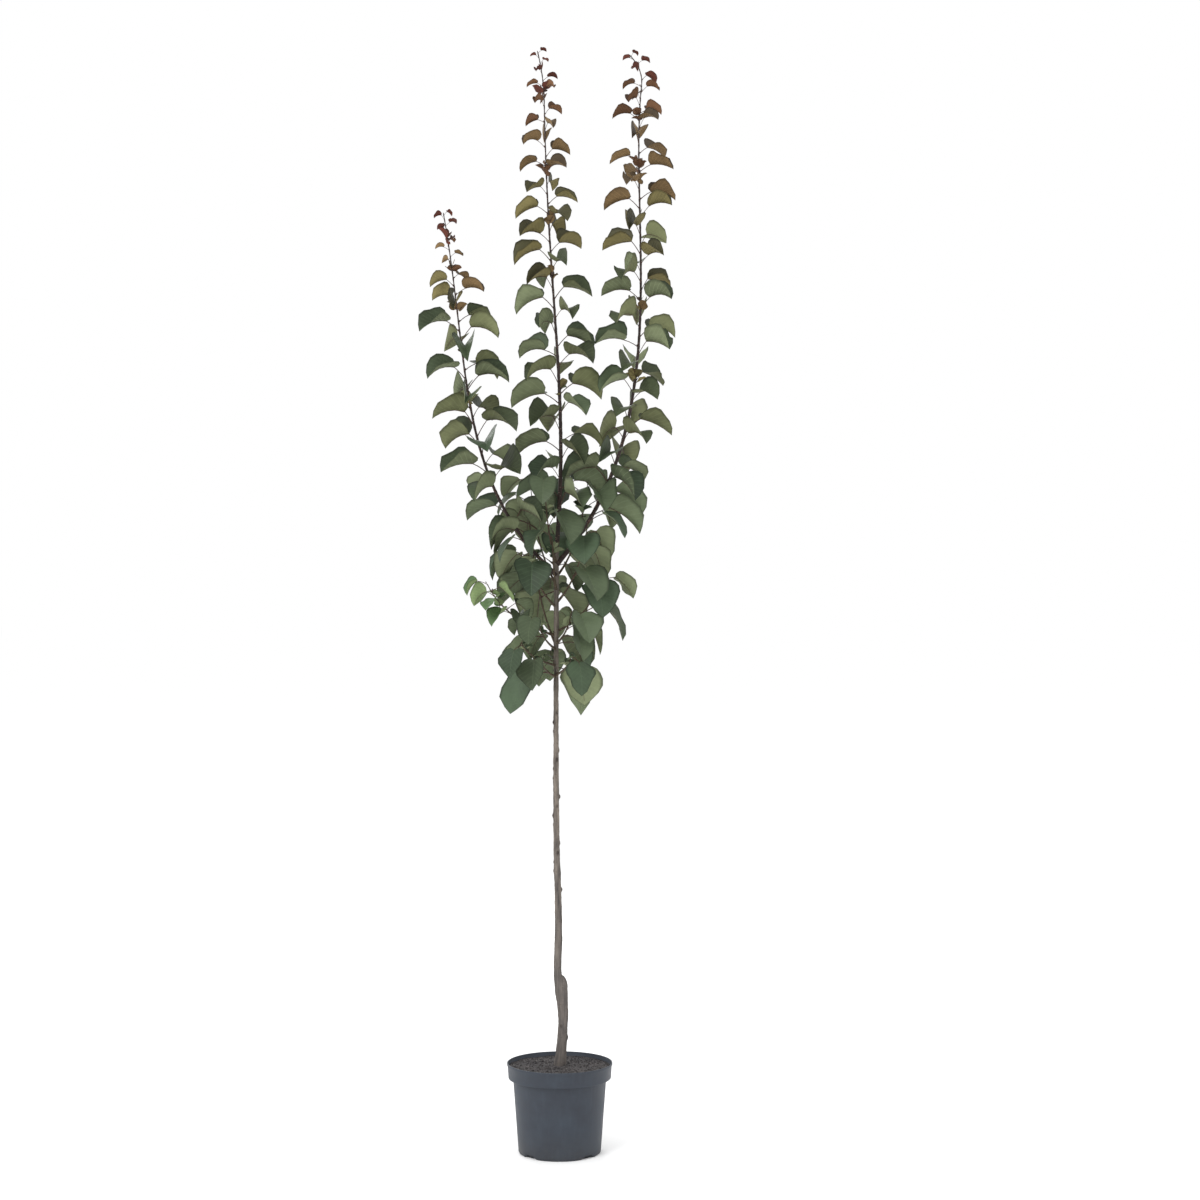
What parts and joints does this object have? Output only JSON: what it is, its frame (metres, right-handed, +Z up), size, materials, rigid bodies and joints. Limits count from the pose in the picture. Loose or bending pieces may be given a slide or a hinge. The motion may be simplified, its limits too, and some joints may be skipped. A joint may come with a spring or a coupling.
{
  "type": "potted apricot tree",
  "caption": "Young half-standard apricot tree: a clean grafted stem, upright leafy leaders and a ruff of leafy shoots at the fork, growing in a round nursery pot of compost.",
  "frame": {"origin": "centre of the pot's flat underside, on the surface that the pot stands on", "axes": "+Z up along the stem, +X to the right and -Y towards the viewer, as in the picture"},
  "size_m": [0.6033, 0.3729, 2.6436],
  "materials": {
    "pot_plastic": "moulded, dull",
    "compost": "loose and crumbly",
    "bark": "smooth grey-brown bark",
    "young_bark": "smooth dark young bark",
    "foliage": "satin leaves",
    "shade_foliage": "satin leaves"
  },
  "bodies": {
    "root": {"pot": "pot_plastic", "compost": "compost", "trunk": "bark", "centre_bough": "young_bark", "left_bough": "young_bark", "right_bough": "young_bark", "centre_leader_foliage": "foliage", "left_leader_foliage": "foliage", "right_leader_foliage": "foliage", "left_riser_shoot_foliage": "shade_foliage", "left_young_shoot_foliage": "shade_foliage", "right_shoot_foliage": "shade_foliage", "right_upper_shoot_foliage": "shade_foliage", "front_shoot_foliage": "shade_foliage", "front_left_shoot_foliage": "shade_foliage", "back_shoot_foliage": "shade_foliage", "back_right_shoot_foliage": "shade_foliage", "back_left_shoot_foliage": "shade_foliage", "fork_front_shoot_foliage": "shade_foliage", "low_left_shoot_foliage": "shade_foliage", "low_right_shoot_foliage": "shade_foliage", "low_front_shoot_foliage": "shade_foliage", "low_back_shoot_foliage": "shade_foliage", "spur_left_shoot_foliage": "shade_foliage", "spur_right_shoot_foliage": "shade_foliage"}
  },
  "joints": []
}
